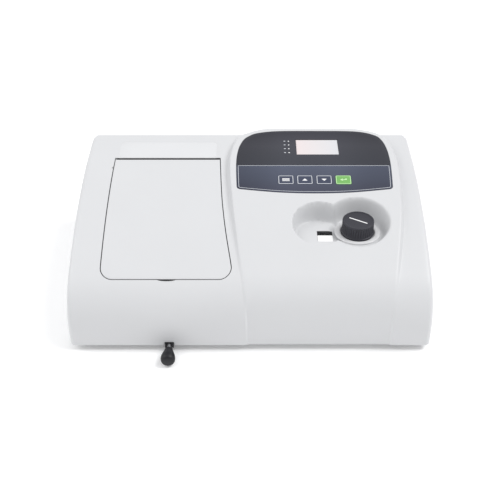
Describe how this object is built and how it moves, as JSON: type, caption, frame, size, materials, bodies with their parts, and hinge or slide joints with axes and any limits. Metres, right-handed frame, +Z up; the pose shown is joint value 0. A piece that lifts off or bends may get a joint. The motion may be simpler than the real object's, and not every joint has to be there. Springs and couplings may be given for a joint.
{
  "type": "spectrophotometer",
  "caption": "Benchtop visible-light spectrophotometer with a lidded sample compartment, pull-rod cuvette carriage, wavelength knob and keypad with display.",
  "frame": {"origin": "middle of the bounding box at the bench top, under the feet", "axes": "+X to the user's right, +Y towards the back, +Z up"},
  "size_m": [0.42, 0.318, 0.1365],
  "materials": {
    "housing_paint": "fine satin texture, light grey-white",
    "base_zinc": "satin zinc grey",
    "rubber": "matt black",
    "black_plastic": "fine textured black",
    "knob_plastic": "satin charcoal",
    "silver_plastic": "satin pale silver",
    "overlay_film": "satin printed film, charcoal over blue-grey",
    "key_film": "satin printed film, blue-grey with a pale outline",
    "key_green": "satin printed film, green",
    "clear_plastic": "clear window",
    "foam": "matt black foam",
    "steel": "brushed",
    "alloy": "as cast",
    "black_anodised": "black anodised",
    "mirror": "polished",
    "lamp_glass": "clear",
    "brass": "turned",
    "circuit_board": "green solder mask",
    "white_plastic": "plain white",
    "iron_core": "varnished laminations"
  },
  "bodies": {
    "housing": {"upper_housing": "housing_paint", "base_plate": "base_zinc", "foot_front_left": "rubber", "foot_front_right": "rubber", "foot_rear_left": "rubber", "foot_rear_right": "rubber", "rear_panel": "base_zinc", "power_inlet": "black_plastic", "switch_frame": "black_plastic", "fuse_holder": "black_plastic", "data_port": "steel", "hinge_bracket_left": "steel", "hinge_bracket_right": "steel", "hinge_pin_left": "steel", "hinge_pin_right": "steel", "sample_chamber": "black_anodised", "guide_rail_left": "steel", "guide_rail_right": "steel", "pull_rod_bush": "black_plastic", "panel_overlay": "overlay_film", "display_window": "clear_plastic", "display_module": "silver_plastic", "control_board": "circuit_board", "knob_collar": "silver_plastic", "window_lens": "clear_plastic", "drum_frame": "base_zinc", "shaft_bearing": "brass", "optics_base": "alloy", "grating_pivot_block": "alloy", "collimating_mirror": "mirror", "mirror_mount": "alloy", "entrance_slit": "black_anodised", "exit_slit": "black_anodised", "lamp_housing": "base_zinc", "condenser_lens": "lamp_glass", "lens_ring": "black_anodised", "lamp_socket": "white_plastic", "lamp_bulb": "lamp_glass", "detector_housing": "alloy", "power_transformer": "iron_core"},
    "lid": {"sample_lid": "housing_paint", "lid_seal": "foam"},
    "carriage": {"pull_rod": "steel", "pull_rod_handle": "black_plastic", "drive_arm": "steel", "carriage_base": "black_anodised", "cuvette_rack": "black_anodised"},
    "knob": {"wavelength_knob": "knob_plastic", "knob_cap": "knob_plastic", "wavelength_shaft": "steel"},
    "drum": {"scale_drum": "black_plastic", "drum_axle": "brass"},
    "nut": {"sine_nut": "brass"},
    "grating_arm": {"grating_table": "black_anodised", "grating": "mirror"},
    "mode_button": {"key_mode": "key_film"},
    "up_button": {"key_up": "key_film"},
    "down_button": {"key_down": "key_film"},
    "enter_button": {"key_enter": "key_green"},
    "rocker": {"power_rocker": "black_plastic"}
  },
  "joints": [
    {"name": "lid_hinge", "type": "hinge", "parent": "housing", "child": "lid", "pos_m": [-0.105, 0.085, 0.1211], "axis": [-1, 0, 0], "range_deg": [0, 100]},
    {"name": "pull_rod_slide", "type": "slide", "parent": "housing", "child": "carriage", "axis": [0, -1, 0], "range_m": [0, 0.048]},
    {"name": "nut_slide", "type": "slide", "parent": "housing", "child": "nut", "axis": [0, 0, 1], "range_m": [-0.0066, 0.0136]},
    {"name": "knob_turn", "type": "hinge", "parent": "housing", "child": "knob", "pos_m": [0.1284, -0.0286, 0.098], "axis": [0, 0, 1], "range_deg": [-1590, 3270]},
    {"name": "drum_turn", "type": "hinge", "parent": "housing", "child": "drum", "pos_m": [0.09, -0.0286, 0.083], "axis": [1, 0, 0], "range_deg": [-1591, 3271]},
    {"name": "grating_turn", "type": "hinge", "parent": "housing", "child": "grating_arm", "pos_m": [0.098, 0.054, 0.04], "axis": [-1, 0, 0], "range_deg": [-5.6, 11.4]},
    {"name": "mode_press", "type": "slide", "parent": "housing", "child": "mode_button", "axis": [0, 0.1709, -0.9853], "range_m": [0, 0.0005], "stiffness_N_per_m": 500},
    {"name": "up_press", "type": "slide", "parent": "housing", "child": "up_button", "axis": [0, 0.1709, -0.9853], "range_m": [0, 0.0005], "stiffness_N_per_m": 500},
    {"name": "down_press", "type": "slide", "parent": "housing", "child": "down_button", "axis": [0, 0.1709, -0.9853], "range_m": [0, 0.0005], "stiffness_N_per_m": 500},
    {"name": "enter_press", "type": "slide", "parent": "housing", "child": "enter_button", "axis": [0, 0.1709, -0.9853], "range_m": [0, 0.0005], "stiffness_N_per_m": 500},
    {"name": "rocker_tilt", "type": "hinge", "parent": "housing", "child": "rocker", "pos_m": [-0.171, 0.152, 0.042], "axis": [1, 0, 0], "range_deg": [0, 16]}
  ],
  "couplings": [
    {"joint": "knob_turn", "follows": "nut_slide", "rad_per_m": 4188.8},
    {"joint": "drum_turn", "follows": "nut_slide", "rad_per_m": 4188.8},
    {"joint": "grating_turn", "follows": "nut_slide", "rad_per_m": 14.286}
  ]
}
